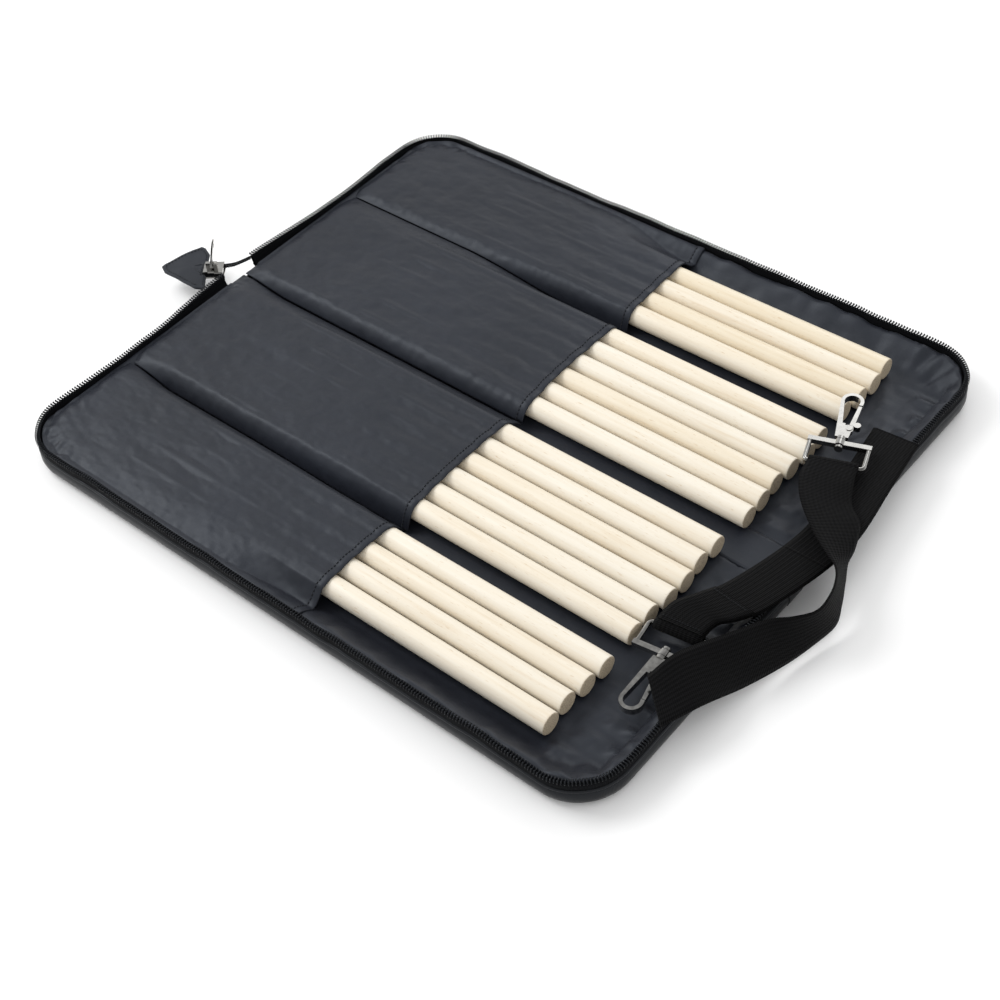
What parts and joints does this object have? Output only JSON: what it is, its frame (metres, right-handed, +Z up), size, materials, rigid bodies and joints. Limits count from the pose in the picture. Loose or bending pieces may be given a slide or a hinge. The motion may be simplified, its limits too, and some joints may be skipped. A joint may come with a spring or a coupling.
{
  "type": "drum stick bag",
  "caption": "Zip-round padded drum stick bag lying open: two hinged halves with cloth pockets of sticks, webbing straps with swivel snap hooks.",
  "frame": {"origin": "middle of the spine strip's underside, on the surface that the open bag lies on", "axes": "+X across the open bag from the front half to the back half, +Y along the sticks from their butts to the pocket bottoms and zip end, +Z up out of the open bag"},
  "size_m": [0.408, 0.5554, 0.0438],
  "materials": {
    "shell_cloth": "slightly glossy coated nylon cloth",
    "lining_cloth": "satin woven lining",
    "foam": "closed-cell foam padding, out of sight",
    "black_binding": "matt woven tape",
    "coil_teeth": "nylon coil",
    "tab_cloth": "grey nylon cloth",
    "webbing": "ribbed polypropylene webbing",
    "nickel": "nickel-plated casting",
    "spring_steel": "wound wire",
    "maple": "satin lacquered pale maple"
  },
  "bodies": {
    "back_half": {"back_shell": "shell_cloth", "back_foam": "foam", "back_lining": "lining_cloth", "back_gusset": "black_binding", "back_zip_tape": "black_binding", "back_zip_teeth": "coil_teeth", "back_pocket_inner": "lining_cloth", "back_pocket_outer": "lining_cloth", "back_strap_base": "webbing", "front_strap_end": "webbing"},
    "spine": {"spine_shell": "shell_cloth", "spine_lining": "lining_cloth", "zip_tail_tape": "black_binding", "zip_tail_teeth": "coil_teeth", "zip_end_tab": "tab_cloth"},
    "front_half": {"front_shell": "shell_cloth", "front_foam": "foam", "front_lining": "lining_cloth", "front_gusset": "black_binding", "front_zip_tape": "black_binding", "front_zip_teeth": "coil_teeth", "front_pocket_inner": "lining_cloth", "front_pocket_outer": "lining_cloth", "front_strap_base": "webbing", "back_strap_end": "webbing"},
    "zip_slider": {"slider": "nickel"},
    "zip_puller": {"puller": "nickel"},
    "back_strap_swivel_eye": {"back_strap_eye": "nickel"},
    "back_strap_hook": {"back_strap_hook_body": "nickel", "back_strap_hook_rivet": "nickel", "back_strap_hook_spring": "spring_steel"},
    "back_strap_gate": {"back_strap_hook_gate": "nickel"},
    "front_strap_swivel_eye": {"front_strap_eye": "nickel"},
    "front_strap_hook": {"front_strap_hook_body": "nickel", "front_strap_hook_rivet": "nickel", "front_strap_hook_spring": "spring_steel"},
    "front_strap_gate": {"front_strap_hook_gate": "nickel"},
    "stick_1": {"stick_1": "maple"},
    "stick_2": {"stick_2": "maple"},
    "stick_3": {"stick_3": "maple"},
    "stick_4": {"stick_4": "maple"},
    "stick_5": {"stick_5": "maple"},
    "stick_6": {"stick_6": "maple"},
    "stick_7": {"stick_7": "maple"},
    "stick_8": {"stick_8": "maple"},
    "stick_9": {"stick_9": "maple"},
    "stick_10": {"stick_10": "maple"},
    "stick_11": {"stick_11": "maple"},
    "stick_12": {"stick_12": "maple"},
    "stick_13": {"stick_13": "maple"},
    "stick_14": {"stick_14": "maple"},
    "stick_15": {"stick_15": "maple"},
    "stick_16": {"stick_16": "maple"},
    "stick_17": {"stick_17": "maple"},
    "stick_18": {"stick_18": "maple"},
    "stick_19": {"stick_19": "maple"},
    "stick_20": {"stick_20": "maple"}
  },
  "joints": [
    {"name": "spine_fold", "type": "hinge", "parent": "back_half", "child": "spine", "pos_m": [0.014, 0, 0.012], "axis": [0, 1, 0], "range_deg": [0, 90], "deforming": ["back_strap_base", "front_strap_end", "back_strap_end", "front_strap_base", "back_pocket_inner", "front_pocket_inner", "zip_tail_tape", "zip_tail_teeth"]},
    {"name": "front_fold", "type": "hinge", "parent": "spine", "child": "front_half", "pos_m": [-0.014, 0, 0.012], "axis": [0, 1, 0], "range_deg": [0, 90], "deforming": ["back_strap_base", "front_strap_end", "back_strap_end", "front_strap_base", "back_pocket_inner", "front_pocket_inner"]},
    {"name": "slider_slide", "type": "slide", "parent": "spine", "child": "zip_slider", "axis": [0.6157, -0.788, 0], "range_m": [0, 0.006]},
    {"name": "puller_hinge", "type": "hinge", "parent": "zip_slider", "child": "zip_puller", "pos_m": [-0.01108, 0.25218, 0.0221], "axis": [0.788, 0.6157, 0], "range_deg": [-94, 14]},
    {"name": "back_strap_eye_hinge", "type": "hinge", "parent": "front_half", "child": "back_strap_swivel_eye", "pos_m": [-0.0824, -0.2032, 0.017], "axis": [0.1392, -0.9903, 0], "range_deg": [-100, 0]},
    {"name": "back_strap_swivel", "type": "hinge", "parent": "back_strap_swivel_eye", "child": "back_strap_hook", "pos_m": [-0.10022, -0.2057, 0.017], "axis": [-0.9903, -0.1392, 0], "continuous": true},
    {"name": "back_strap_gate_hinge", "type": "hinge", "parent": "back_strap_hook", "child": "back_strap_gate", "pos_m": [-0.11172, -0.21015, 0.017], "axis": [0, 0, 1], "range_deg": [-15, 0], "stiffness_Nm_per_rad": 0.004, "springref_deg": 9.74, "deforming": ["back_strap_hook_spring"]},
    {"name": "front_strap_eye_hinge", "type": "hinge", "parent": "back_half", "child": "front_strap_swivel_eye", "pos_m": [0.0666, -0.2078, 0.0284], "axis": [-0.342, 0.9397, 0], "range_deg": [-100, 0]},
    {"name": "front_strap_swivel", "type": "hinge", "parent": "front_strap_swivel_eye", "child": "front_strap_hook", "pos_m": [0.08351, -0.20164, 0.0284], "axis": [0.9397, 0.342, 0], "continuous": true},
    {"name": "front_strap_gate_hinge", "type": "hinge", "parent": "front_strap_hook", "child": "front_strap_gate", "pos_m": [0.09575, -0.20017, 0.0284], "axis": [0, 0, -1], "range_deg": [-15, 0], "stiffness_Nm_per_rad": 0.004, "springref_deg": 9.74, "deforming": ["front_strap_hook_spring"]},
    {"name": "stick_1_slide", "type": "slide", "parent": "front_half", "child": "stick_1", "axis": [0, -1, 0], "range_m": [0, 0.036]},
    {"name": "stick_2_slide", "type": "slide", "parent": "front_half", "child": "stick_2", "axis": [0, -1, 0], "range_m": [0, 0.036]},
    {"name": "stick_3_slide", "type": "slide", "parent": "front_half", "child": "stick_3", "axis": [0, -1, 0], "range_m": [0, 0.002]},
    {"name": "stick_4_slide", "type": "slide", "parent": "front_half", "child": "stick_4", "axis": [0, -1, 0], "range_m": [0, 0.002]},
    {"name": "stick_5_slide", "type": "slide", "parent": "front_half", "child": "stick_5", "axis": [0, -1, 0], "range_m": [0, 0.001]},
    {"name": "stick_6_slide", "type": "slide", "parent": "front_half", "child": "stick_6", "axis": [0, -1, 0], "range_m": [0, 0.001]},
    {"name": "stick_7_slide", "type": "slide", "parent": "front_half", "child": "stick_7", "axis": [0, -1, 0], "range_m": [0, 0.036]},
    {"name": "stick_8_slide", "type": "slide", "parent": "front_half", "child": "stick_8", "axis": [0, -1, 0], "range_m": [0, 0.036]},
    {"name": "stick_9_slide", "type": "slide", "parent": "front_half", "child": "stick_9", "axis": [0, -1, 0], "range_m": [0, 0.036]},
    {"name": "stick_10_slide", "type": "slide", "parent": "front_half", "child": "stick_10", "axis": [0, -1, 0], "range_m": [0, 0.036]},
    {"name": "stick_11_slide", "type": "slide", "parent": "back_half", "child": "stick_11", "axis": [0, -1, 0], "range_m": [0, 0.036]},
    {"name": "stick_12_slide", "type": "slide", "parent": "back_half", "child": "stick_12", "axis": [0, -1, 0], "range_m": [0, 0.036]},
    {"name": "stick_13_slide", "type": "slide", "parent": "back_half", "child": "stick_13", "axis": [0, -1, 0], "range_m": [0, 0.036]},
    {"name": "stick_14_slide", "type": "slide", "parent": "back_half", "child": "stick_14", "axis": [0, -1, 0], "range_m": [0, 0.036]},
    {"name": "stick_15_slide", "type": "slide", "parent": "back_half", "child": "stick_15", "axis": [0, -1, 0], "range_m": [0, 0.036]},
    {"name": "stick_16_slide", "type": "slide", "parent": "back_half", "child": "stick_16", "axis": [0, -1, 0], "range_m": [0, 0.036]},
    {"name": "stick_17_slide", "type": "slide", "parent": "back_half", "child": "stick_17", "axis": [0, -1, 0], "range_m": [0, 0.036]},
    {"name": "stick_18_slide", "type": "slide", "parent": "back_half", "child": "stick_18", "axis": [0, -1, 0], "range_m": [0, 0.036]},
    {"name": "stick_19_slide", "type": "slide", "parent": "back_half", "child": "stick_19", "axis": [0, -1, 0], "range_m": [0, 0.036]},
    {"name": "stick_20_slide", "type": "slide", "parent": "back_half", "child": "stick_20", "axis": [0, -1, 0], "range_m": [0, 0.036]}
  ],
  "couplings": [
    {"joint": "front_fold", "follows": "spine_fold", "ratio": 1}
  ]
}
